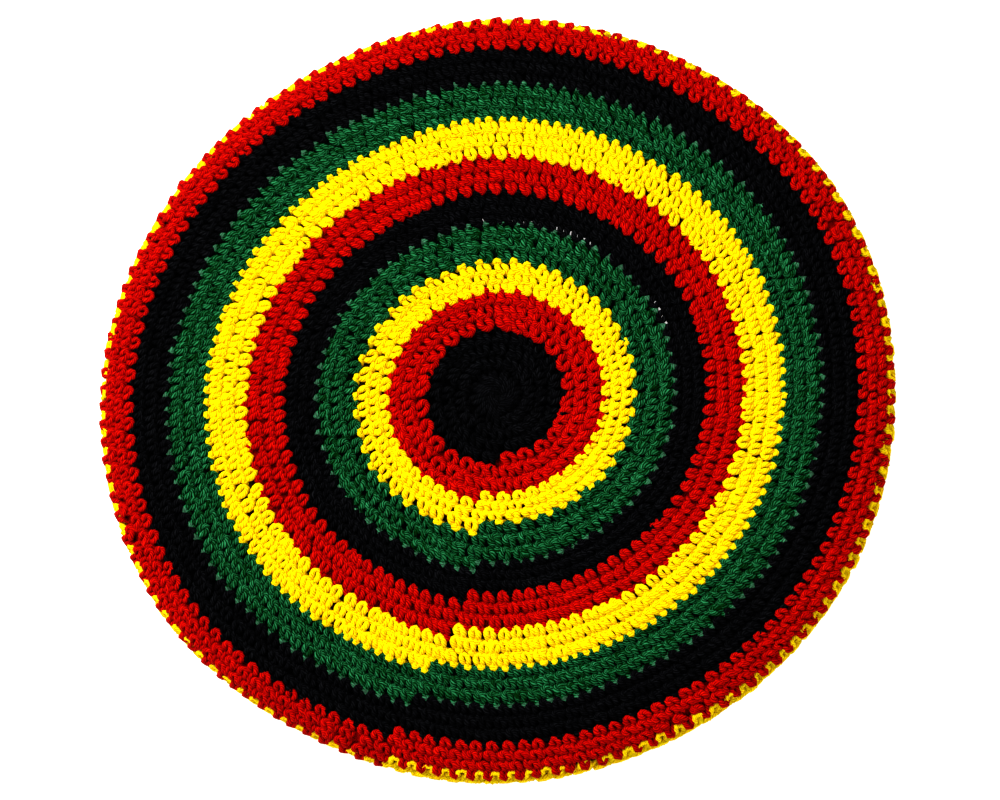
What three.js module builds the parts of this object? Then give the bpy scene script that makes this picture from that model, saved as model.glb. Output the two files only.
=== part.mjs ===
// A crocheted disc tam, lying flat on its head band with the opening down.
// Millimetres, +Z up, the floor at z = 0 and +Y away from the viewer.
// The cloth is worked in one spiral from the middle of the crown, over the rim, back along the
// underside and down the band. Each stripe of colour is a yarn of its own, so it is a solid of its own.
import * as THREE from 'three';

// Driving sizes
const rimWidth = 294.4;         // over the rim, the mean of all directions
const crownHeight = 36;         // floor to the top of the middle of the crown
const crownFall = 7.5;          // how far the crown drops before the rim rolls over
const rimRoll = 12;             // how far in from the rim its roll begins
const rimHeight = 17.5;         // floor to the widest line of the rim
const undersideLow = 8;         // height at which the underside's slope would meet the rim
const undersideHigh = 19.2;     // height at which the underside's slope would meet the band
const headWidth = 168;          // inside the band, unstretched
const bandTurn = 7.5;           // reach of the curve between the underside and the band
const clothThickness = 4;       // of single crochet in a thick yarn
const stripeGap = 0.3;          // left between two neighbouring stripes
const rimSag = 2;               // most that the rim hangs lower than its mean

// Shares
const crownShareOfRoll = 0.62;  // how much of the rim's upper curve the crown's last stripe takes
const ovalShare = 0.0223;       // how much longer and shorter than the mean the two half axes are
const ovalAngle = 17.8;         // degrees from +X to the long axis

// The spiral of rounds, counted out from the middle of the crown
const stepsPerRound = 36;
const centreRounds = 1.9;       // the first, tall round, in rounds of the usual height
const seamAngle = -93;          // degrees from +X to the step where each colour starts
const seamLean = 0.49;          // degrees that the step moves clockwise with each round

// From the middle of the crown to its edge. Tension is the height of a round as a share of the usual.
const crownStripes = [
  { name: 'crown_centre_black', yarn: 'black', rounds: 3, tension: 1.00 },
  { name: 'crown_red_1', yarn: 'red', rounds: 3, tension: 1.06 },
  { name: 'crown_yellow_1', yarn: 'yellow', rounds: 3, tension: 0.79 },
  { name: 'crown_green_1', yarn: 'green', rounds: 3, tension: 1.06 },
  { name: 'crown_black_1', yarn: 'black', rounds: 3, tension: 0.83 },
  { name: 'crown_red_2', yarn: 'red', rounds: 3, tension: 0.99 },
  { name: 'crown_yellow_2', yarn: 'yellow', rounds: 3, tension: 1.05 },
  { name: 'crown_green_2', yarn: 'green', rounds: 3, tension: 1.00 },
  { name: 'crown_black_2', yarn: 'black', rounds: 3, tension: 1.03 },
  { name: 'crown_red_3', yarn: 'red', rounds: 3, tension: 0.77 },
];

// From the rim to the foot of the band
const underStripes = [
  { name: 'under_yellow_1', yarn: 'yellow', rounds: 3, tension: 1.00 },
  { name: 'under_green', yarn: 'green', rounds: 3, tension: 1.00 },
  { name: 'under_black', yarn: 'black', rounds: 3, tension: 1.00 },
  { name: 'under_red', yarn: 'red', rounds: 3, tension: 1.00 },
  { name: 'under_yellow_2', yarn: 'yellow', rounds: 3, tension: 1.00 },
  { name: 'band_green', yarn: 'green', rounds: 3, tension: 1.00 },
  { name: 'band_black', yarn: 'black', rounds: 3, tension: 1.00 },
];

// How the lying hat departs from its oval, every 30 degrees from +X.
// Reach is a share added to each radius, and sag is a share of rimSag.
const lie = [
  { reach: 0.001, sag: 0.2 },
  { reach: 0.005, sag: 0.5 },
  { reach: 0.000, sag: 0.9 },
  { reach: 0.004, sag: 0.5 },
  { reach: -0.009, sag: 0.1 },
  { reach: -0.007, sag: 0.4 },
  { reach: 0.002, sag: 0.8 },
  { reach: 0.002, sag: 1.0 },
  { reach: -0.012, sag: 0.6 },
  { reach: 0.005, sag: 0.1 },
  { reach: 0.004, sag: 0.3 },
  { reach: 0.007, sag: 0.6 },
];

const yarnColours = {
  black: '#0d0d12',
  red: '#c8150a',
  yellow: '#f7dc08',
  green: '#0b6a3c',
};

// The middle of the cloth, cut through from the crown's centre to the band's foot, as radius and height
const halfCloth = clothThickness / 2;
const rimRadius = rimWidth / 2 - halfCloth;
const rollStart = rimRadius - rimRoll;
const bandRadius = headWidth / 2 + halfCloth;
const turnStart = bandRadius + bandTurn;
const crownMiddle = crownHeight - halfCloth;
const crownEdge = crownMiddle - crownFall;
const crownSlope = 2 * crownFall / rollStart;

function undersideHeight(radius) {
  const share = (radius - bandRadius) / (rimRadius - bandRadius);
  return THREE.MathUtils.lerp(undersideHigh, undersideLow, share);
}

const section = new THREE.Path();
section.moveTo(0, crownMiddle);
section.quadraticCurveTo(rollStart / 2, crownMiddle, rollStart, crownEdge);
section.quadraticCurveTo(rimRadius, crownEdge - crownSlope * rimRoll, rimRadius, rimHeight);
section.quadraticCurveTo(rimRadius, undersideLow, rollStart, undersideHeight(rollStart));
section.lineTo(turnStart, undersideHeight(turnStart));
section.quadraticCurveTo(bandRadius, undersideHigh, bandRadius, undersideHigh - bandTurn);
section.lineTo(bandRadius, 0);

const [crownLength, rollLength] = section.getCurveLengths();
const sectionLength = section.getLength();
const crownReach = crownLength + crownShareOfRoll * (rollLength - crownLength);

// How far along the section each stripe begins, and how tall its rounds are there
function measureStripes(stripes, from, to, leadRounds) {
  const weights = stripes.map(({ rounds, tension }) => rounds * tension);
  const usualHeight = (to - from) / (leadRounds + weights.reduce((sum, weight) => sum + weight));
  let start = from + leadRounds * usualHeight;
  return stripes.map((stripe, i) => {
    const measured = { ...stripe, start, roundHeight: stripe.tension * usualHeight };
    start += weights[i] * usualHeight;
    return measured;
  });
}

const stripes = [
  ...measureStripes(crownStripes, 0, crownReach, centreRounds),
  ...measureStripes(underStripes, crownReach, sectionLength, 0),
];
let roundsSoFar = 0;
for (const stripe of stripes) {
  stripe.firstRound = roundsSoFar;
  roundsSoFar += stripe.rounds;
}

// The distance along the section at a place in the spiral, which stops at the band's foot
function distanceAt(round) {
  if (round >= roundsSoFar) return sectionLength;
  const stripe = stripes.findLast(({ firstRound }) => firstRound <= round);
  return stripe.start + (round - stripe.firstRound) * stripe.roundHeight;
}

// A value of the table above at any angle, eased from row to row
function lieAt(column, angle) {
  const place = THREE.MathUtils.euclideanModulo(angle / 360, 1) * lie.length;
  const row = Math.floor(place);
  const share = THREE.MathUtils.smoothstep(place - row, 0, 1);
  return THREE.MathUtils.lerp(lie[row][column], lie[(row + 1) % lie.length][column], share);
}

// A point of the cloth. Side is +1 for the outer face of the hat and -1 for the inner one.
function clothPoint(distance, angle, side) {
  const share = distance / sectionLength;
  const middle = section.getPoint(share);
  const along = section.getTangent(share);
  const radius = middle.x - side * halfCloth * along.y;
  const height = middle.y + side * halfCloth * along.x;
  const oval = ovalShare * Math.cos(THREE.MathUtils.degToRad(2 * (angle - ovalAngle)));
  const reach = radius * (1 + oval + lieAt('reach', angle));
  const outwards = THREE.MathUtils.clamp((middle.x - turnStart) / (rimRadius - turnStart), 0, 1);
  const turn = THREE.MathUtils.degToRad(angle);
  return new THREE.Vector3(
    reach * Math.cos(turn),
    reach * Math.sin(turn),
    height - rimSag * lieAt('sag', angle) * outwards ** 2,
  );
}

// One stripe. Its corners are counted in steps along the spiral, so a step one round later lies
// right outside, and both of its edges jump by a round where the colour starts.
function stripeGeometry({ firstRound, rounds }) {
  const isCentre = firstRound === 0;
  const isFoot = firstRound + rounds === roundsSoFar;
  const first = firstRound * stepsPerRound;
  const last = (firstRound + rounds + 1) * stepsPerRound;
  const sideCount = last - first + 1;
  const points = [];
  const triangles = [];

  // Edges give way to their neighbour by half the gap, outwards or inwards and, at the jump, sideways
  function stepPoint(step, side) {
    let distance = distanceAt(step / stepsPerRound);
    let sideways = 0;
    const onInnerEdge = !isCentre && step <= first + stepsPerRound;
    const onOuterEdge = !isFoot && step >= last - stepsPerRound;
    if (onInnerEdge) distance += stripeGap / 2;
    if (onOuterEdge) distance -= stripeGap / 2;
    if (onInnerEdge && (step - first) % stepsPerRound === 0) sideways = stripeGap / 2;
    if (onOuterEdge && (last - step) % stepsPerRound === 0) sideways = -stripeGap / 2;
    const angle = seamAngle + step / stepsPerRound * (360 - seamLean);
    const radius = section.getPoint(distance / sectionLength).x;
    return clothPoint(distance, angle + THREE.MathUtils.radToDeg(sideways / radius), side);
  }

  for (const side of [1, -1]) {
    for (let step = first; step <= last; step++) points.push(stepPoint(step, side));
  }

  // The band's foot is level, so its last round tapers away and ends on the corner where it began
  function corner(step, side) {
    const joined = isFoot && step === last ? last - stepsPerRound : step;
    return joined - first + (side > 0 ? 0 : sideCount);
  }

  function triangle(a, b, c) {
    if (a !== b && b !== c && c !== a) triangles.push(a, b, c);
  }

  function skin(a, b, c) {
    triangle(corner(a, 1), corner(b, 1), corner(c, 1));
    triangle(corner(a, -1), corner(c, -1), corner(b, -1));
  }

  function edge(from, to) {
    triangle(corner(from, 1), corner(to, 1), corner(to, -1));
    triangle(corner(from, 1), corner(to, -1), corner(from, -1));
  }

  for (let step = first; step < last - stepsPerRound; step++) {
    const outside = step + stepsPerRound;
    skin(step, outside, outside + 1);
    skin(step, outside + 1, step + 1);
  }

  const innerEnd = first + stepsPerRound;
  if (isCentre) {
    const middle = points.push(clothPoint(0, 0, 1), clothPoint(0, 0, -1)) - 2;
    for (let step = first; step < innerEnd; step++) {
      const next = step + 1 === innerEnd ? first : step + 1;
      triangle(middle, corner(step, 1), corner(next, 1));
      triangle(middle + 1, corner(next, -1), corner(step, -1));
    }
    skin(first, innerEnd - 1, innerEnd);
  } else {
    for (let step = first; step < innerEnd; step++) edge(step, step + 1);
    edge(innerEnd, first);
  }

  const outerStart = last - stepsPerRound;
  for (let step = outerStart; step < last; step++) edge(step + 1, step);
  edge(outerStart, last);

  const geometry = new THREE.BufferGeometry().setFromPoints(points);
  geometry.setIndex(triangles);
  return geometry;
}

function yarnMaterial(yarn) {
  return new THREE.MeshStandardMaterial({
    color: yarnColours[yarn],
    roughness: 0.92,
    metalness: 0,
    flatShading: true,
  });
}

const tam = new THREE.Group();
tam.name = 'rasta_tam';
for (const stripe of stripes) {
  const mesh = new THREE.Mesh(stripeGeometry(stripe), yarnMaterial(stripe.yarn));
  mesh.name = stripe.name;
  tam.add(mesh);
}

// The origin is on the floor under the middle of the hat's outline
const outlineMiddle = new THREE.Box3().setFromObject(tam).getCenter(new THREE.Vector3());
tam.position.set(-outlineMiddle.x, -outlineMiddle.y, 0);

export default tam;
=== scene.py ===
# Crocheted disc tam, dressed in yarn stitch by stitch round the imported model.
# Metres, +Z up, the floor at z = 0 and +Y away from the viewer.
# One spiral runs from the crown's middle to the foot, and a place in it is counted in rounds.
import math
import bpy
import numpy as np
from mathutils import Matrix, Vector


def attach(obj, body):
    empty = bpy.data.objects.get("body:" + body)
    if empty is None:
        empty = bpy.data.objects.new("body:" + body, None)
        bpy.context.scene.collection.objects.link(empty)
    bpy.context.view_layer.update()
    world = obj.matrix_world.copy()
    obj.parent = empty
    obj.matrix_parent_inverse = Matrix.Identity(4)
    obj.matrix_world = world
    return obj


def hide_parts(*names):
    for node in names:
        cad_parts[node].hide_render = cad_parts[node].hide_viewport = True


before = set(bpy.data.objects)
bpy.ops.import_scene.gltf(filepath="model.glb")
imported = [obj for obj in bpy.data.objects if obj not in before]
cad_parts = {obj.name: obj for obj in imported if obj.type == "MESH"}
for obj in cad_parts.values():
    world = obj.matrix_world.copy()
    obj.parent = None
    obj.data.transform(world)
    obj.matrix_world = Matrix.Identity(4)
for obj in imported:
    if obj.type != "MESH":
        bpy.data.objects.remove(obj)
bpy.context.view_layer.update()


# The stripes, from the crown's middle over the rim to the foot of the band

roundsPerStripe = 3
plainStripe = {
    "tension": 1.0,    # height of its rounds, as a share of the usual
    "teeth": 1.0,      # how far the tops of its stitches reach outwards, as a share of the pattern's
    "breadth": 1.0,    # how wide and thick the tops of its last round are, as a share
    "rise": 0.0,       # how much higher those tops lie, in metres
    "sink": 0.0,       # how much deeper the feet of its first round lie, in metres
    "spread": 1.0,     # how wide the feet stand, as a share
    "fullness": 1.08,  # how thick the yarn lies, as a share
    "eyelets": (),     # arcs in degrees where the wall behind its first round is open
}

# the stitches in each stripe's three rounds, and where it differs from a plain one
crownRows = (
    {"node": "crown_centre_black", "yarn": "black", "stitches": (16, 20, 24),
     "spread": 1.2, "fullness": 1.0},
    {"node": "crown_red_1", "yarn": "red", "stitches": (28, 36, 44),
     "tension": 1.06, "spread": 1.85, "fullness": 1.25},
    {"node": "crown_yellow_1", "yarn": "yellow", "stitches": (48, 48, 50),
     "tension": 0.79, "teeth": 0.6, "rise": 0.0005, "spread": 1.5, "fullness": 1.0},
    {"node": "crown_green_1", "yarn": "green", "stitches": (57, 66, 75),
     "tension": 1.06, "spread": 1.35, "fullness": 0.99},
    {"node": "crown_black_1", "yarn": "black", "stitches": (80, 86, 92),
     "tension": 0.83, "teeth": 1.2, "spread": 1.2, "fullness": 1.0, "eyelets": ((20, 34), (58, 97))},
    {"node": "crown_red_2", "yarn": "red", "stitches": (98, 103, 108),
     "tension": 0.99, "spread": 1.05, "fullness": 1.05},
    {"node": "crown_yellow_2", "yarn": "yellow", "stitches": (120, 132, 141),
     "tension": 1.05, "teeth": 0.6, "rise": 0.0005, "spread": 1.28, "fullness": 0.96},
    {"node": "crown_green_2", "yarn": "green", "stitches": (141, 141, 141),
     "spread": 1.25, "fullness": 0.94},
    {"node": "crown_black_2", "yarn": "black", "stitches": (141, 141, 141),
     "tension": 1.03, "spread": 1.3, "fullness": 1.0},
    {"node": "crown_red_3", "yarn": "red", "stitches": (141, 139, 134),
     "tension": 0.77, "teeth": 2.9, "breadth": 1.2, "rise": 0.0005, "spread": 1.4, "fullness": 1.0},
)
underRows = (
    {"node": "under_yellow_1", "yarn": "yellow", "stitches": (131, 129, 126), "sink": 0.0006, "spread": 1.5},
    {"node": "under_green", "yarn": "green", "stitches": (123, 120, 117)},
    {"node": "under_black", "yarn": "black", "stitches": (114, 111, 108)},
    {"node": "under_red", "yarn": "red", "stitches": (106, 104, 102)},
    {"node": "under_yellow_2", "yarn": "yellow", "stitches": (100, 99, 98)},
    {"node": "band_green", "yarn": "green", "stitches": (98, 98, 98)},
    {"node": "band_black", "yarn": "black", "stitches": (98, 98, 98)},
)
crownStripes = [plainStripe | row for row in crownRows]
underStripes = [plainStripe | row for row in underRows]
stripes = crownStripes + underStripes
roundCount = roundsPerStripe * len(stripes)


# The cloth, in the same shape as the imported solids

cloth = {
    "rimWidth": 0.2944,        # over the rim, the mean of all directions
    "crownHeight": 0.036,      # floor to the top of the crown's middle
    "crownFall": 0.0075,       # drop of the crown before the rim rolls over
    "rimRoll": 0.012,          # how far in from the rim its roll begins
    "rimHeight": 0.0175,       # floor to the widest line of the rim
    "undersideLow": 0.008,     # where the underside's slope would meet the rim
    "undersideHigh": 0.0192,   # where it would meet the band
    "headWidth": 0.168,        # inside the band
    "bandTurn": 0.0075,        # reach of the curve from the underside to the band
    "bandPull": 0.005,         # height of the pull point of the band's upright line
    "thickness": 0.004,
    "rimSag": 0.002,           # most that the rim hangs lower than its mean
    "ovalShare": 0.0223,       # how far the half axes differ from the mean
    "ovalAngle": 17.8,         # degrees from +X to the long axis
    "crownShareOfRoll": 0.62,  # how far over the rim's roll the crown's last stripe reaches
    "centreRounds": 1.9,       # height of the first, tall round in usual rounds
    "seamAngle": -93.0,        # degrees from +X to the step of the first colour
    "seamLean": 0.49,          # degrees that the step moves clockwise each round
    "curvePoints": 600,        # on each curve of the section
}

# share added to the reach and share of the sag, every 30 degrees from +X
lieReach = (0.001, 0.005, 0.0, 0.004, -0.009, -0.007, 0.002, 0.002, -0.012, 0.005, 0.004, 0.007)
lieSag = (0.2, 0.5, 0.9, 0.5, 0.1, 0.4, 0.8, 1.0, 0.6, 0.1, 0.3, 0.6)


def bend(start, pull, end):  # a quadratic curve from start to end
    t = np.linspace(0, 1, cloth["curvePoints"])[:, None]
    return (1 - t) ** 2 * np.array(start) + 2 * t * (1 - t) * np.array(pull) + t ** 2 * np.array(end)


def lengthOf(points):  # the length of a line up to each of its points
    return np.concatenate([[0], np.cumsum(np.linalg.norm(np.diff(points, axis=0), axis=1))])


def cutSection():  # the middle of the cloth from the crown's centre to the foot, as radius and height
    half = cloth["thickness"] / 2
    rim = cloth["rimWidth"] / 2 - half
    roll = rim - cloth["rimRoll"]
    band = cloth["headWidth"] / 2 + half
    turn = band + cloth["bandTurn"]
    between = (roll + turn) / 2
    top = cloth["crownHeight"] - half
    edge = top - cloth["crownFall"]
    slope = 2 * cloth["crownFall"] / roll
    bandTop = cloth["undersideHigh"] - cloth["bandTurn"]

    def underside(radius):
        share = (radius - band) / (rim - band)
        return cloth["undersideHigh"] + share * (cloth["undersideLow"] - cloth["undersideHigh"])

    crown = bend((0, top), (roll / 2, top), (roll, edge))
    shoulder = bend((roll, edge), (rim, edge - slope * cloth["rimRoll"]), (rim, cloth["rimHeight"]))
    tuck = bend((rim, cloth["rimHeight"]), (rim, cloth["undersideLow"]), (roll, underside(roll)))
    flat = bend((roll, underside(roll)), (between, underside(between)), (turn, underside(turn)))
    fold = bend((turn, underside(turn)), (band, cloth["undersideHigh"]), (band, bandTop))
    upright = bend((band, bandTop), (band, cloth["bandPull"]), (band, 0))
    points = np.vstack([crown] + [part[1:] for part in (shoulder, tuck, flat, fold, upright)])
    reach = lengthOf(crown)[-1] + lengthOf(shoulder)[-1] * cloth["crownShareOfRoll"]
    return points, lengthOf(points), reach, turn, rim


section, sectionAt, crownReach, turnRadius, rimRadius = cutSection()
sectionLength = sectionAt[-1]
sectionSlope = np.gradient(section, sectionAt, axis=0)
sectionSlope /= np.linalg.norm(sectionSlope, axis=1)[:, None]
print("cloth section:", round(sectionLength, 4), "m from the crown's middle to the foot")


def findRoundStarts():  # distance along the section at which each round of the spiral starts
    crown = np.repeat([stripe["tension"] for stripe in crownStripes], roundsPerStripe)
    under = np.repeat([stripe["tension"] for stripe in underStripes], roundsPerStripe)
    usual = crownReach / (cloth["centreRounds"] + crown.sum())
    centre = cloth["centreRounds"] * usual
    above = centre + np.concatenate([[0], np.cumsum(crown)]) * usual
    below = np.cumsum(under) * (sectionLength - crownReach) / under.sum()
    return np.concatenate([above, crownReach + below])


roundStarts = findRoundStarts()
wholeTurn = 360 / (360 - cloth["seamLean"])  # from a place in the spiral to the place right outside it


def distanceAt(place):
    return np.interp(place, np.arange(roundCount + 1), roundStarts)


def angleAt(place):
    return cloth["seamAngle"] + place * (360 - cloth["seamLean"])


def radiusAt(place):
    return np.interp(distanceAt(np.maximum(place, 0)), sectionAt, section[:, 0])


def lieAt(table, angle):  # eased from each value of the table to the next
    place = np.mod(angle / 360, 1) * len(table)
    row = np.floor(place).astype(int)
    share = place - row
    share = share * share * (3 - 2 * share)
    values = np.array(table)
    return values[row % len(table)] * (1 - share) + values[(row + 1) % len(table)] * share


def aboutSpiral(distance, angle, lift):  # a place on the lying cloth, measured from the spiral's middle
    middle = np.stack([np.interp(distance, sectionAt, section[:, i]) for i in (0, 1)], axis=-1)
    slope = np.stack([np.interp(distance, sectionAt, sectionSlope[:, i]) for i in (0, 1)], axis=-1)
    radius = middle[..., 0] - lift * slope[..., 1]
    height = middle[..., 1] + lift * slope[..., 0]
    oval = cloth["ovalShare"] * np.cos(np.radians(2 * (angle - cloth["ovalAngle"])))
    reach = radius * (1 + oval + lieAt(lieReach, angle))
    outwards = np.clip((middle[..., 0] - turnRadius) / (rimRadius - turnRadius), 0, 1)
    height = height - cloth["rimSag"] * lieAt(lieSag, angle) * outwards ** 2
    turn = np.radians(angle)
    return np.stack([reach * np.cos(turn), reach * np.sin(turn), height], axis=-1)


outlineSearch = {
    "step": 0.5,          # degrees
    "nearest": 0.9,       # shares of the crown's reach, with the widest line between them
    "furthest": 1.1,
    "rows": 60,
}


def findOutlineMiddle():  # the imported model's origin is under the middle of its outline
    nearest, furthest = crownReach * outlineSearch["nearest"], crownReach * outlineSearch["furthest"]
    angles, distances = np.meshgrid(
        np.arange(0, 360, outlineSearch["step"]), np.linspace(nearest, furthest, outlineSearch["rows"])
    )
    outline = aboutSpiral(distances, angles, cloth["thickness"] / 2).reshape(-1, 3)
    middle = (outline.min(axis=0) + outline.max(axis=0)) / 2
    return np.array([middle[0], middle[1], 0])


outlineMiddle = findOutlineMiddle()


def onCloth(distance, angle, lift):  # lift is measured from the middle of the cloth towards its outer face
    return aboutSpiral(distance, angle, lift) - outlineMiddle


# The stitches

spiral = {
    "startStitches": 12,     # in the tall first round
    "pastFoot": (100, 100),  # in the two rounds past the foot, where the laying ends
    "stepBack": 0.24,        # how far clockwise a stitch sits of the one that it is worked into, in stitches
    "twinSpread": 0.6,       # how far apart two stitches worked into one stand at their feet
    "evenness": 0.8,         # how far their tops even out
    "evenings": 60,          # in how many passes
    "owedAtStart": 0.5,      # share of a stitch that the counting starts with
    "leastOwed": 0.3,        # a stitch is left out only below this share of one
    "closingIn": 0.33,       # how far its neighbours' feet lean over to its place
    "closingReach": 1.4,     # how many stitches away such a neighbour stands at most
}


def layStitches():  # the places of each stitch's foot and top, worked into a stitch of the round below
    wanted = [spiral["startStitches"]]
    wanted += [count for stripe in stripes for count in stripe["stitches"]]
    wanted += spiral["pastFoot"]
    below = -1 + (np.arange(wanted[0]) + 0.5) / wanted[0]
    feet = list(below)
    tops = list(below)
    owed = spiral["owedAtStart"]
    while tops[-1] < roundCount:
        fresh = []
        leftOut = []
        room = np.append(np.diff(below), 1 / wanted[int(math.floor(below[-1] + 1))])
        for parent, gap in zip(below, room):
            level = int(math.floor(parent + 1))
            owed += gap * wanted[level + 1]
            twins = int(owed) if owed >= 2 or owed < spiral["leastOwed"] else 1
            owed -= twins
            if twins == 0:
                leftOut.append(parent + wholeTurn - spiral["stepBack"] / wanted[level + 1])
            for twin in range(twins):
                aside = (twin - (twins - 1) / 2) * spiral["twinSpread"] - spiral["stepBack"]
                fresh.append(parent + wholeTurn + aside / wanted[level + 1])
        fresh = np.array(fresh)
        eased = fresh.copy()
        for _ in range(spiral["evenings"]):
            before = np.concatenate([[tops[-1]], eased[:-1]])
            after = np.concatenate([eased[1:], [eased[-1] + 1 / wanted[level + 1]]])
            eased = fresh * (1 - spiral["evenness"]) + (before + after) / 2 * spiral["evenness"]
        for place in leftOut:
            beside = np.abs(fresh - place) < spiral["closingReach"] / wanted[level + 1]
            fresh[beside] += spiral["closingIn"] * (place - fresh[beside])
        feet.extend(fresh)
        tops.extend(eased)
        below = eased
    return np.array(feet), np.array(tops)


stitchFeet, stitchTops = layStitches()
print("stitches laid:", len(stitchTops))


# One stitch as the yarn runs through it: across in stitches (counter-clockwise), aside in metres the
# same way, up in rounds (away from the crown's middle), lift in metres from the middle of the cloth,
# the yarn's thickness there as a share of its own, and the steps to the next row
crownStitch = (
    (-0.10, 0.00000, 0.90, -0.0010, 0.95, 1),
    (-0.09, -0.00025, 0.68, 0.0009, 1.05, 1),
    (-0.11, -0.00072, 0.42, 0.0016, 1.12, 2),
    (-0.13, -0.00078, 0.14, 0.0014, 1.06, 1),
    (-0.13, 0.00000, -0.04, 0.0011, 1.02, 1),
    (-0.09, 0.00078, 0.14, 0.0014, 1.06, 2),
    (0.05, 0.00072, 0.42, 0.0016, 1.12, 1),
    (0.17, 0.00025, 0.66, 0.0010, 1.05, 1),
    (0.16, 0.00000, 0.78, -0.0008, 0.95, 1),
    (0.06, 0.00000, 0.92, 0.0008, 1.00, 1),
    (0.10, 0.00000, 1.06, 0.0016, 1.00, 1),
    (0.27, 0.00000, 1.21, 0.0013, 0.80, 1),
    (0.32, 0.00000, 1.06, 0.0012, 0.95, 1),
    (0.38, 0.00000, 0.92, 0.0000, 0.95, 1),
    (0.60, 0.00000, 0.90, -0.0012, 0.95, 1),
)
underStitch = (
    (-0.10, 0.00000, 0.90, -0.0006, 0.95, 1),
    (-0.12, -0.00080, 0.45, 0.0014, 1.02, 2),
    (0.00, -0.00070, 0.04, 0.0015, 1.00, 1),
    (0.00, 0.00070, 0.04, 0.0015, 1.00, 1),
    (0.12, 0.00080, 0.45, 0.0013, 1.02, 1),
    (0.12, 0.00000, 0.80, 0.0002, 1.02, 1),
    (0.08, 0.00000, 1.02, 0.0015, 1.05, 1),
    (0.20, 0.00000, 1.16, 0.0009, 0.80, 1),
    (0.36, 0.00000, 0.94, 0.0002, 0.95, 1),
    (0.60, 0.00000, 0.90, -0.0008, 0.95, 1),
)
stitchParts = {
    "feetBelow": 0.3,      # in rounds up
    "topsAbove": 0.9,
    "outerFrom": 0.8,      # from here up the yarn goes with the stitch's top alone, and not with its foot
    "tipFrom": 0.9,        # nearness to the furthest point of a top, which is 1
    "leastRadius": 0.004,  # of a round, where metres along it are turned into a share of it
    "startAt": 0.0016,     # distance of the innermost feet from the crown's middle
    "nearestTo": 0.0008,   # least distance of any yarn from it
    "footRoom": 1.05,      # least distance from the edge of the foot, in radii of the yarn
}

unevenness = {
    "seed": 7,
    "across": 0.03,      # in stitches
    "lean": 0.06,        # of the stitch's outer half, in stitches
    "up": 0.045,         # in rounds
    "lift": 0.00015,     # in metres
    "thickness": 0.05,   # shares of the yarn's own
}
yarnShape = {
    "radius": {"black": 0.00112, "red": 0.00103, "yellow": 0.00116, "green": 0.00115},
    "crownSides": 7,
    "underSides": 5,
    "tailRadius": 0.4,   # of the yarn's own, where it ends inside the cloth
    "freeEnd": 0.2,      # of a round, how far before the spiral's end the last stripe stops
}


def yarnRadius(stripe):
    return yarnShape["radius"][stripe["yarn"]] * stripe["fullness"]


def smoothThrough(controls, steps):  # points on a smooth line through the controls
    count = len(controls)
    padded = np.vstack([controls[:1], controls, controls[-1:]])
    rows = np.repeat(np.arange(count - 1), steps[:-1])
    shares = np.concatenate([np.arange(n) / n for n in steps[:-1]])[:, None]
    p0, p1, p2, p3 = (padded[rows + i] for i in range(4))
    return 0.5 * (
        2 * p1 + (p2 - p0) * shares + (2 * p0 - 5 * p1 + 4 * p2 - p3) * shares ** 2
        + (3 * p1 - p0 - 3 * p2 + p3) * shares ** 3
    )


# a yarn's line has five columns: place and up in rounds, lift and radius in metres, nearness to a tip
radiusColumn = 3
tipColumn = 4


def yarnPath(stripe, first, last, pattern, rng):  # the yarn's line through the stripe's stitches
    chosen = np.flatnonzero((stitchTops >= first) & (stitchTops < last))
    count = len(chosen)
    gaps = np.gradient(stitchTops)[chosen][:, None]
    foot, top = stitchFeet[chosen][:, None], stitchTops[chosen][:, None]
    inFirstRound = top < first + 1
    inLastRound = top >= last - 1
    shape = np.array([row[:-1] for row in pattern])
    steps = np.tile([row[-1] for row in pattern], count)
    across, aside, up, lift, thick = (np.tile(column, (count, 1)) for column in shape.T)
    outer = np.clip(up / stitchParts["outerFrom"], 0, 1)
    isTop = up > stitchParts["topsAbove"]
    sunk = (up < stitchParts["feetBelow"]) & inFirstRound  # under the teeth of the stripe before
    tooth = isTop & inLastRound  # over the feet of the stripe after
    tipAcross = across[0, up[0].argmax()]
    across = np.where(tooth, tipAcross + (across - tipAcross) * stripe["breadth"], across)
    lift += stripe["rise"] * tooth - stripe["sink"] * sunk
    thick = np.where(tooth, thick * stripe["breadth"], thick)
    reach = stitchParts["topsAbove"] + (up - stitchParts["topsAbove"]) * stripe["teeth"]
    up = np.where(isTop, reach, up)
    across += unevenness["across"] * rng.standard_normal((count, 1))
    across += unevenness["lean"] * rng.standard_normal((count, 1)) * outer
    up += unevenness["up"] * rng.standard_normal((count, 1))
    lift += unevenness["lift"] * rng.standard_normal((count, 1))
    thick *= 1 + unevenness["thickness"] * rng.standard_normal((count, 1))
    place = foot * (1 - outer) + top * outer + across * gaps
    around = 2 * math.pi * np.maximum(radiusAt(place), stitchParts["leastRadius"])
    place += aside * stripe["spread"] / around
    isTip = (up == up.max(axis=1, keepdims=True)) & inLastRound
    controls = np.stack([place, up, lift, thick * yarnRadius(stripe), isTip], axis=-1).reshape(-1, 5)
    line = smoothThrough(controls, steps)
    line[[0, -1], radiusColumn] *= yarnShape["tailRadius"]
    return line


def toCloth(line):  # the points of a yarn's line
    place, up, lift, radius, _ = line.T
    base = np.where(place < 0, stitchParts["startAt"], distanceAt(place))
    above = distanceAt(np.maximum(place + wholeTurn, 0))
    distance = base + up * (above - base)
    distance = np.clip(distance, stitchParts["nearestTo"], sectionLength - radius * stitchParts["footRoom"])
    return onCloth(distance, angleAt(place), lift)


noLength = 1e-18  # square of a difference too small to have a direction


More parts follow.
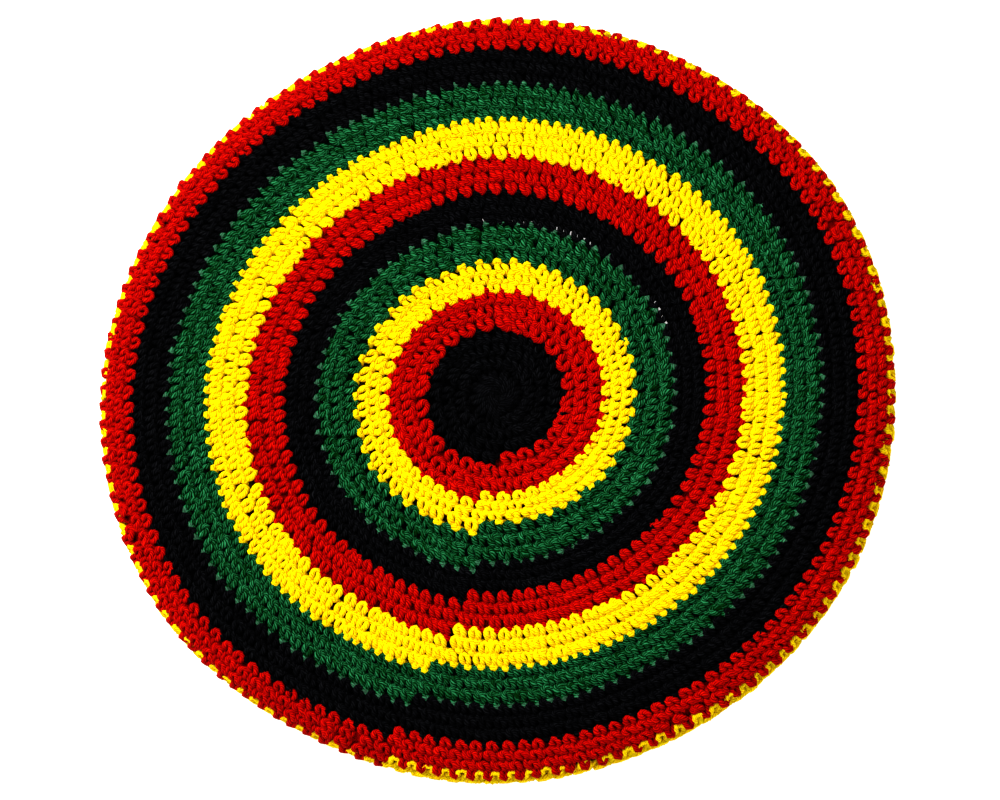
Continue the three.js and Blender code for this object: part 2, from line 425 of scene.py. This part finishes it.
def carriedFrames(line):  # two directions across the yarn at each point, turned no more than the line turns
    ahead = np.gradient(line, axis=0)
    ahead /= np.linalg.norm(ahead, axis=1)[:, None]
    start = np.cross(ahead[0], (0, 0, 1))
    aside = start / np.linalg.norm(start)
    asides = [aside]
    hop = np.diff(line, axis=0)
    hopSquare = (hop ** 2).sum(axis=1)
    ax, ay, az = aside
    for (tx, ty, tz), (nx, ny, nz), (hx, hy, hz), square in zip(
        ahead[:-1].tolist(), ahead[1:].tolist(), hop.tolist(), hopSquare.tolist()
    ):
        # mirrored over to the next point, and there mirrored once more to stand across the line
        f = 2 * (hx * ax + hy * ay + hz * az) / square
        g = 2 * (hx * tx + hy * ty + hz * tz) / square
        rx, ry, rz = ax - f * hx, ay - f * hy, az - f * hz
        sx, sy, sz = nx - (tx - g * hx), ny - (ty - g * hy), nz - (tz - g * hz)
        length = sx * sx + sy * sy + sz * sz
        if length > noLength:
            f = 2 * (sx * rx + sy * ry + sz * rz) / length
            rx, ry, rz = rx - f * sx, ry - f * sy, rz - f * sz
        ax, ay, az = rx, ry, rz
        asides.append((ax, ay, az))
    asides = np.array(asides)
    asides -= (asides * ahead).sum(axis=1)[:, None] * ahead
    asides /= np.linalg.norm(asides, axis=1)[:, None]
    return asides, np.cross(ahead, asides)


def mapCorners(left, right, low, high):  # of four-sided faces in a map
    corners = ((left, low), (left, high), (right, high), (right, low))
    return np.stack([np.stack(corner, axis=-1) for corner in corners], axis=1)


def tubeFaces(count, sides):  # the faces round a yarn of so many rings, and the ones that close its ends
    row = np.arange(count - 1)[:, None] * sides
    column = np.arange(sides)
    beside = (column + 1) % sides
    quads = np.stack([row + column, row + beside, row + sides + beside, row + sides + column], axis=-1)
    lastRow = (count - 1) * sides
    startCap = np.stack([beside, column, np.full(sides, count * sides)], axis=-1)
    endCap = np.stack([column + lastRow, beside + lastRow, np.full(sides, count * sides + 1)], axis=-1)
    return quads.reshape(-1, 4), np.vstack([startCap, endCap])


def tubeTwist(run, sides):  # the map of those faces, in metres along the yarn and turns round it
    turns = np.arange(sides) / sides
    start = np.tile(turns, len(run) - 1)
    quadTwist = mapCorners(np.repeat(run[:-1], sides), np.repeat(run[1:], sides), start, start + 1 / sides)
    capTwist = np.zeros((2 * sides, 3, 2))
    capTwist[sides:, :, 0] = run[-1]
    capTwist[:, 0, 1] = np.tile(turns, 2)
    capTwist[:, 1, 1] = np.tile(turns, 2) + 1 / sides
    capTwist[:, 2, 1] = np.tile(turns, 2)
    return quadTwist, capTwist


def tubeRound(line, radii, sides):  # the corners of a yarn along a line, ring by ring, and its two ends
    aside, above = carriedFrames(line)
    angles = 2 * math.pi * (np.arange(sides) / sides)
    ring = aside[:, None] * np.cos(angles)[None, :, None] + above[:, None] * np.sin(angles)[None, :, None]
    corners = (line[:, None] + ring * radii[:, None, None]).reshape(-1, 3)
    return np.vstack([corners, line[0], line[-1]])


# The wall behind the stitches, and each piece's picture plan, where its yarn and wall lie side by side

wall = {
    "lifts": (-0.0004, -0.0014),  # of its two faces, behind the stitches
    "cellsPerRound": 96,
    "gap": 0.0001,                # left to the next stripe's wall
    "middleHole": 0.0003,         # round which the first stitches are worked
}
picturePlan = {
    "gutter": 0.05,      # of a row's height, left between two rows
    "wallFloor": 0.86,   # where the wall's faces start, above the yarn
    "wallEdges": 0.98,   # where its edges start, above its faces
    "edgesEnd": 0.95,    # how far to the right its edges go
    "capsStart": 0.96,   # where the yarn's ends start, to the right of them
}


def pictureRows(run, sides, breadth, top):  # the yarn laid flat in rows, filling a picture up to top
    rows = int(round(math.sqrt(run[-1] * top / breadth)))
    rowLength = run[-1] / rows
    width = rowLength + np.diff(run).max()
    row = np.minimum((run[:-1] / rowLength).astype(int), rows - 1)
    left = (run[:-1] - row * rowLength) / width
    right = (run[1:] - row * rowLength) / width
    left, right, row = (np.repeat(values, sides) for values in (left, right, row))
    step = top / rows
    share = np.tile(np.arange(sides) / sides, len(run) - 1) * (1 - picturePlan["gutter"])
    low = (row + share) * step
    high = low + step * (1 - picturePlan["gutter"]) / sides
    return mapCorners(left, right, low, high)


def pictureGrid(columns, rows, left, right, low, high):  # a block of equal cells in the picture, row by row
    column, row = np.meshgrid(np.arange(columns), np.arange(rows))
    x = left + (right - left) * column.ravel() / columns
    y = low + (high - low) * row.ravel() / rows
    width = (right - left) / columns
    height = (high - low) / rows * (1 - picturePlan["gutter"])
    return mapCorners(x, x + width, y, y + height)


def wallBehind(first, last, eyelets):
    # a closed wall of cells behind the stitches, with its edges one round apart like the solids'
    perRound = wall["cellsPerRound"]
    count = int(round((last - first) * perRound))
    places = first + np.arange(count + perRound + 1) / perRound
    distance = np.where(places < 0, 0.0, distanceAt(places))
    distance += np.where((places <= first + 1) & (first >= 0), wall["gap"], 0)
    distance -= np.where(places >= last, wall["gap"], 0)
    distance = np.maximum(distance, wall["middleHole"])
    skins = [onCloth(distance, angleAt(places), lift) for lift in wall["lifts"]]
    size = len(places)
    cells = np.arange(count)
    closed = np.ones(count, dtype=bool)
    middle = np.mod(angleAt(places[:perRound] + 0.5 / perRound), 360)  # of each cell of the first round
    for start, end in eyelets:
        closed[:perRound] &= (middle < start) | (middle > end)
    outside = np.zeros(perRound, dtype=bool)
    # what lies beyond each of a cell's four edges, and the edge's two corners
    edges = (
        (np.concatenate([outside, closed[:-perRound]]), 0, 1),
        (np.concatenate([closed[perRound:], outside]), perRound + 1, perRound),
        (np.concatenate([outside[:1], closed[:-1]]), perRound, 0),
        (np.concatenate([closed[1:], outside[:1]]), 1, perRound + 1),
    )
    top = cells[closed][:, None] + (0, perRound, perRound + 1, 1)
    sides = np.vstack([
        cells[closed & ~beyond][:, None] + (one, other, other + size, one + size)
        for beyond, one, other in edges
    ])
    quads = np.vstack([top, top[:, ::-1] + size, sides])
    run = np.tile(lengthOf(skins[0]), 2)
    twist = np.stack([run[quads], np.tile(places, 2)[quads]], axis=-1)
    rows = math.ceil(2 * len(top) / perRound)
    picture = np.concatenate([
        pictureGrid(perRound, rows, 0, 1, picturePlan["wallFloor"], picturePlan["wallEdges"])[:2 * len(top)],
        pictureGrid(len(sides), 1, 0, picturePlan["edgesEnd"], picturePlan["wallEdges"], 1),
    ])
    return np.vstack(skins), quads, twist, picture, len(top)  # the faces behind the stitches come first


def makeMesh(name, corners, faceGroups, maps):  # faceGroups are arrays of quads and of triangles
    mesh = bpy.data.meshes.new(name)
    mesh.vertices.add(len(corners))
    mesh.vertices.foreach_set("co", corners.astype(np.float32).ravel())
    loops = np.concatenate([group.ravel() for group in faceGroups])
    sizes = np.concatenate([np.full(len(group), group.shape[1]) for group in faceGroups])
    starts = np.concatenate([[0], np.cumsum(sizes)[:-1]])
    mesh.loops.add(len(loops))
    mesh.loops.foreach_set("vertex_index", loops.astype(np.int32))
    mesh.polygons.add(len(sizes))
    mesh.polygons.foreach_set("loop_start", starts.astype(np.int32))
    mesh.polygons.foreach_set("use_smooth", np.ones(len(sizes), dtype=bool))
    for mapName, groups in maps.items():
        layer = mesh.uv_layers.new(name=mapName)
        values = np.concatenate([group.reshape(-1, 2) for group in groups])
        layer.data.foreach_set("uv", values.astype(np.float32).ravel())
    mesh.update(calc_edges=True)
    if mesh.validate(verbose=True):
        print("mended", name)
    made = bpy.data.objects.new(name, mesh)
    bpy.context.scene.collection.objects.link(made)
    return made


# The yarns

# each yarn's colours: painted shade in the grooves between plies, the yarn's own colour, and a painted
# highlight on the plies' tops
yarns = {
    "black": {
        "valleyShade": (0.0003, 0.0003, 0.0006),
        "body": (0.0011, 0.0011, 0.0016),
        "crestHighlight": (0.017, 0.0175, 0.020),
    },
    "red": {
        "valleyShade": (0.12, 0.0002, 0.0001),
        "body": (0.355, 0.0005, 0.0002),
        "crestHighlight": (0.80, 0.014, 0.001),
    },
    "yellow": {
        "valleyShade": (0.80, 0.26, 0.0001),
        "body": (0.95, 0.67, 0.0002),
        "crestHighlight": (0.98, 0.90, 0.001),
    },
    "green": {
        "valleyShade": (0.0001, 0.006, 0.0002),
        "body": (0.0002, 0.031, 0.003),
        "crestHighlight": (0.055, 0.345, 0.15),
    },
}
# share of its colour in the painted shade on the wall's face behind the stitches, deep between them
holeShadeShares = {"black": 0.35, "red": 1.3, "yellow": 0.08, "green": 0.35}
# painted highlight on the tips of a stripe's last stitches
tipHighlight = {"green": {"tone": (0.30, 0.55, 0.42), "share": 0.13}}
pieceParts = {"yarn": 0, "hole": 1, "tip": 2}  # the order of a piece's materials: yarn, painted shade behind the stitches, painted highlight on the tips
plySettings = {
    "roughness": 0.75,
    "specular": 0.04,
    "plies": 5,
    "turnLength": 0.005,    # of the yarn's twist, in metres
    "depth": 0.0004,        # of the relief, in metres
    "reliefStrength": 1.0,
    "fibreLength": 0.003,
    "fibresRound": 1.6,
    "fibreScale": 1.0,
    "fibreDetail": 2,
    "fluffScale": 1400,
    "fluffDetail": 3,
    "plyShare": 0.6,        # of the plies, the fibres and the fluff in the tone
    "fibreShare": 1.0,
    "fluffShare": 0.3,
    "plyMean": 0.76,        # mean of the plies' own pattern
    "noiseMean": 0.5,       # and of the fibres' and the fluff's
    "meanTone": 0.52,       # of all three together
    "valleyAt": 0.1,        # tones at which the three colours stand: painted shade, the yarn's own colour, painted highlight
    "bodyAt": 0.5,
    "crestAt": 0.95,
}


def shadesOf(yarn, share, tone=(0, 0, 0)):  # a share of the yarn's three colours, and one tone for the rest
    return {
        part: [share * c + (1 - share) * t for c, t in zip(colour, tone)]
        for part, colour in yarns[yarn].items()
    }


def makeYarn(name, shades):
    material = bpy.data.materials.new(name)
    material.use_nodes = True
    nodes, links = material.node_tree.nodes, material.node_tree.links
    shader = nodes["Principled BSDF"]
    shader.inputs["Roughness"].default_value = plySettings["roughness"]
    shader.inputs["Specular IOR Level"].default_value = plySettings["specular"]

    def calc(operation, a, b=None):
        node = nodes.new("ShaderNodeMath")
        node.operation = operation
        for socket, value in zip(node.inputs, (a, b)):
            if value is None:
                continue
            if isinstance(value, (int, float)):
                socket.default_value = value
            else:
                links.new(value, socket)
        return node.outputs[0]

    def noise(vector, scale, detail):
        node = nodes.new("ShaderNodeTexNoise")
        node.inputs["Scale"].default_value = scale
        node.inputs["Detail"].default_value = detail
        links.new(vector, node.inputs["Vector"])
        return node.outputs["Fac"]

    twistMap = nodes.new("ShaderNodeUVMap")
    twistMap.uv_map = "yarnTwist"
    split = nodes.new("ShaderNodeSeparateXYZ")
    links.new(twistMap.outputs["UV"], split.inputs[0])
    along, around = split.outputs["X"], split.outputs["Y"]
    helix = calc("ADD", calc("MULTIPLY", along, 1 / plySettings["turnLength"]), around)
    wave = calc("SINE", calc("MULTIPLY", helix, math.pi * plySettings["plies"]))
    ridge = calc("SQRT", calc("ABSOLUTE", wave))
    turn = calc("MULTIPLY", helix, 2 * math.pi)
    fibre = nodes.new("ShaderNodeCombineXYZ")  # a place on the yarn as if it were untwisted
    links.new(calc("MULTIPLY", calc("COSINE", turn), plySettings["fibresRound"]), fibre.inputs[0])
    links.new(calc("MULTIPLY", calc("SINE", turn), plySettings["fibresRound"]), fibre.inputs[1])
    links.new(calc("MULTIPLY", along, 1 / plySettings["fibreLength"]), fibre.inputs[2])
    streak = noise(fibre.outputs[0], plySettings["fibreScale"], plySettings["fibreDetail"])
    place = nodes.new("ShaderNodeTexCoord")
    fluff = noise(place.outputs["Object"], plySettings["fluffScale"], plySettings["fluffDetail"])
    noiseShare = plySettings["fibreShare"] + plySettings["fluffShare"]
    middling = plySettings["plyMean"] * plySettings["plyShare"] + plySettings["noiseMean"] * noiseShare
    tone = calc("ADD", calc("MULTIPLY", ridge, plySettings["plyShare"]),
                calc("MULTIPLY", streak, plySettings["fibreShare"]))
    tone = calc("ADD", tone, calc("MULTIPLY", fluff, plySettings["fluffShare"]))
    tone = calc("ADD", tone, plySettings["meanTone"] - middling)
    # the ply relief turns the tone into painted shade in the grooves and a painted highlight on the tops,
    # and random fibre streaks and fluff vary it as well
    shade = nodes.new("ShaderNodeValToRGB")
    ramp = shade.color_ramp
    ramp.elements[0].position = plySettings["valleyAt"]
    ramp.elements[0].color = (*shades["valleyShade"], 1)
    ramp.elements[1].position = plySettings["crestAt"]
    ramp.elements[1].color = (*shades["crestHighlight"], 1)
    middle = ramp.elements.new(plySettings["bodyAt"])
    middle.color = (*shades["body"], 1)
    links.new(tone, shade.inputs["Fac"])
    links.new(shade.outputs["Color"], shader.inputs["Base Color"])
    bump = nodes.new("ShaderNodeBump")
    bump.inputs["Strength"].default_value = plySettings["reliefStrength"]
    bump.inputs["Distance"].default_value = plySettings["depth"]
    links.new(tone, bump.inputs["Height"])
    links.new(bump.outputs["Normal"], shader.inputs["Normal"])
    return material


yarnMaterials = {yarn: makeYarn(f"{yarn}_yarn", shadesOf(yarn, 1)) for yarn in yarns}
# copies of the yarns with their colours scaled into the painted shade deep between the stitches
holeShadeMaterials = {yarn: makeYarn(f"{yarn}_hole", shadesOf(yarn, holeShadeShares[yarn])) for yarn in yarns}
# copies of the yarns blended towards a pale tone, as the painted highlight on the tips
tipHighlightMaterials = {
    yarn: makeYarn(f"{yarn}_tip", shadesOf(yarn, 1 - blend["share"], blend["tone"]))
    for yarn, blend in tipHighlight.items()
}
print("yarns made:", ", ".join(yarns))


# Every stripe is one length of yarn worked into its three rounds

def workStripe(index, stripe, rng):
    node, yarn = stripe["node"], stripe["yarn"]
    inCrown = index < len(crownStripes)
    first = -1 if index == 0 else index * roundsPerStripe
    last = (index + 1) * roundsPerStripe
    if index == len(stripes) - 1:
        last -= yarnShape["freeEnd"]
    pattern = crownStitch if inCrown else underStitch
    sides = yarnShape["crownSides"] if inCrown else yarnShape["underSides"]
    line = yarnPath(stripe, first, last, pattern, rng)
    yarnLine = toCloth(line)
    run = lengthOf(yarnLine)
    corners = tubeRound(yarnLine, line[:, radiusColumn], sides)
    quads, caps = tubeFaces(len(line), sides)
    twist, capTwist = tubeTwist(run, sides)
    picture = pictureRows(run, sides, 2 * math.pi * yarnRadius(stripe), picturePlan["wallFloor"])
    capPicture = pictureGrid(len(caps), 1, picturePlan["capsStart"], 1, picturePlan["wallEdges"], 1)[:, :3]
    wallCorners, wallQuads, wallTwist, wallPicture, facing = wallBehind(first, last, stripe["eyelets"])
    groups = (np.vstack([quads, wallQuads + len(corners)]), caps)
    maps = {
        "yarnTwist": (np.concatenate([twist, wallTwist]), capTwist),
        "OFBake": (np.concatenate([picture, wallPicture]), capPicture),
    }
    stitched = makeMesh(f"{node}_stitches", np.vstack([corners, wallCorners]), groups, maps)
    stitched.data.materials.append(yarnMaterials[yarn])
    stitched.data.materials.append(holeShadeMaterials[yarn])
    parts = np.full(len(groups[0]) + len(caps), pieceParts["yarn"], dtype=np.int32)
    # the wall's faces behind the stitches take the painted shade
    parts[len(quads):len(quads) + facing] = pieceParts["hole"]
    # the tips of the crown's last stitches take the painted highlight
    if yarn in tipHighlightMaterials and inCrown:
        stitched.data.materials.append(tipHighlightMaterials[yarn])
        nearness = line[:, tipColumn]
        atTip = np.maximum(nearness[:-1], nearness[1:]) > stitchParts["tipFrom"]
        parts[:len(quads)][np.repeat(atTip, sides)] = pieceParts["tip"]
    stitched.data.polygons.foreach_set("material_index", parts)
    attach(stitched, "root")
    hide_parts(node)
    print(node, "triangles", len(groups[0]) * 2 + len(caps))


rng = np.random.default_rng(unevenness["seed"])
for index, stripe in enumerate(stripes):
    workStripe(index, stripe, rng)


# Floor, light and camera

studio = {
    "floorHalf": 6,        # metres from its middle to its edges
    "floorTone": 0.8,
    "floorRoughness": 0.9,
    "floorGlow": 0.5,      # a lit table, on which the hat's shadow hardly shows
    "worldStrength": 0.6,
    "keyPower": 66,        # watts
    "keySize": 1.2,        # metres each way
    "keyPlace": (-1.3, 1.1, 1.9),
    "cameraDistance": 4.0,
    "elevation": 84.0,     # degrees above the floor
    "aimRight": 0.0007,    # of the hat's middle, in the picture
    "aimUp": -0.0014,
    "aimHeight": 0.03,     # above the floor
    "frameWidth": 0.3775,  # what the picture takes in at that distance
    "sensor": 36.0,
    "clipEnd": 50,
}


def stageStudio():
    half = studio["floorHalf"]
    floorMesh = bpy.data.meshes.new("floor")
    corners = [(-half, -half, 0), (half, -half, 0), (half, half, 0), (-half, half, 0)]
    floorMesh.from_pydata(corners, [], [(0, 1, 2, 3)])
    floor = bpy.data.objects.new("floor", floorMesh)
    bpy.context.scene.collection.objects.link(floor)
    paper = bpy.data.materials.new("paper_floor")
    paper.use_nodes = True
    tone = studio["floorTone"]
    shader = paper.node_tree.nodes["Principled BSDF"]
    shader.inputs["Base Color"].default_value = (tone, tone, tone, 1)
    shader.inputs["Roughness"].default_value = studio["floorRoughness"]
    shader.inputs["Emission Color"].default_value = (1, 1, 1, 1)
    shader.inputs["Emission Strength"].default_value = studio["floorGlow"]
    floorMesh.materials.append(paper)
    world = bpy.data.worlds.new("studio")
    world.use_nodes = True
    sky = world.node_tree.nodes["Background"]
    sky.inputs["Color"].default_value = (1, 1, 1, 1)
    sky.inputs["Strength"].default_value = studio["worldStrength"]
    bpy.context.scene.world = world
    lamp = bpy.data.lights.new("window", "AREA")
    lamp.energy = studio["keyPower"]
    lamp.size = studio["keySize"]
    window = bpy.data.objects.new("window", lamp)
    window.location = studio["keyPlace"]
    window.rotation_euler = (-Vector(studio["keyPlace"])).to_track_quat("-Z", "Y").to_euler()
    bpy.context.scene.collection.objects.link(window)


def aimCamera():
    lens = bpy.data.cameras.new("camera")
    lens.sensor_width = studio["sensor"]
    lens.lens = studio["sensor"] * studio["cameraDistance"] / studio["frameWidth"]
    lens.clip_end = studio["clipEnd"]
    camera = bpy.data.objects.new("camera", lens)
    lean = math.radians(90 - studio["elevation"])
    away = studio["cameraDistance"]
    aimY = studio["aimUp"] * math.cos(lean)
    aimZ = studio["aimHeight"] + studio["aimUp"] * math.sin(lean)
    camera.location = (studio["aimRight"], aimY - away * math.sin(lean), aimZ + away * math.cos(lean))
    camera.rotation_euler = (lean, 0, 0)
    bpy.context.scene.collection.objects.link(camera)
    bpy.context.scene.camera = camera


stageStudio()
aimCamera()
bpy.context.scene.view_settings.view_transform = "Standard"
bpy.context.scene.view_settings.look = "High Contrast"
print("floor, light and camera set")
